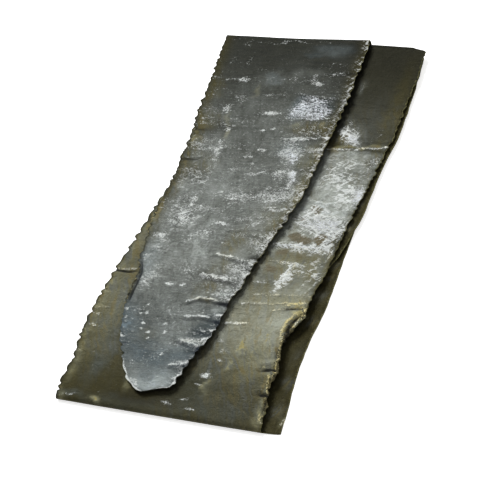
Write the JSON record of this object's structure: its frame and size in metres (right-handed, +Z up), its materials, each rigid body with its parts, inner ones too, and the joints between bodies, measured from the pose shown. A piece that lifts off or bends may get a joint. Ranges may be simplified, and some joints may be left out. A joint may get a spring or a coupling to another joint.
{
  "type": "dried kelp blade, folded",
  "caption": "Dried kelp blade (kombu), folded lengthwise over itself into a flat layered pile, with its narrow rounded end as a tongue on top and toothed, wavy margins.",
  "frame": {"origin": "under the middle of the pile, on the surface that it rests on", "axes": "+Z up, +Y along the pile towards the far fold, +X across the blade towards the side where the second layer shows beside the tongue"},
  "size_m": [0.1868, 0.3956, 0.0128],
  "materials": {
    "dried_leaf": "dull satin, dusted with a whitish bloom"
  },
  "bodies": {
    "root": {"kombu": "dried_leaf"}
  },
  "joints": []
}
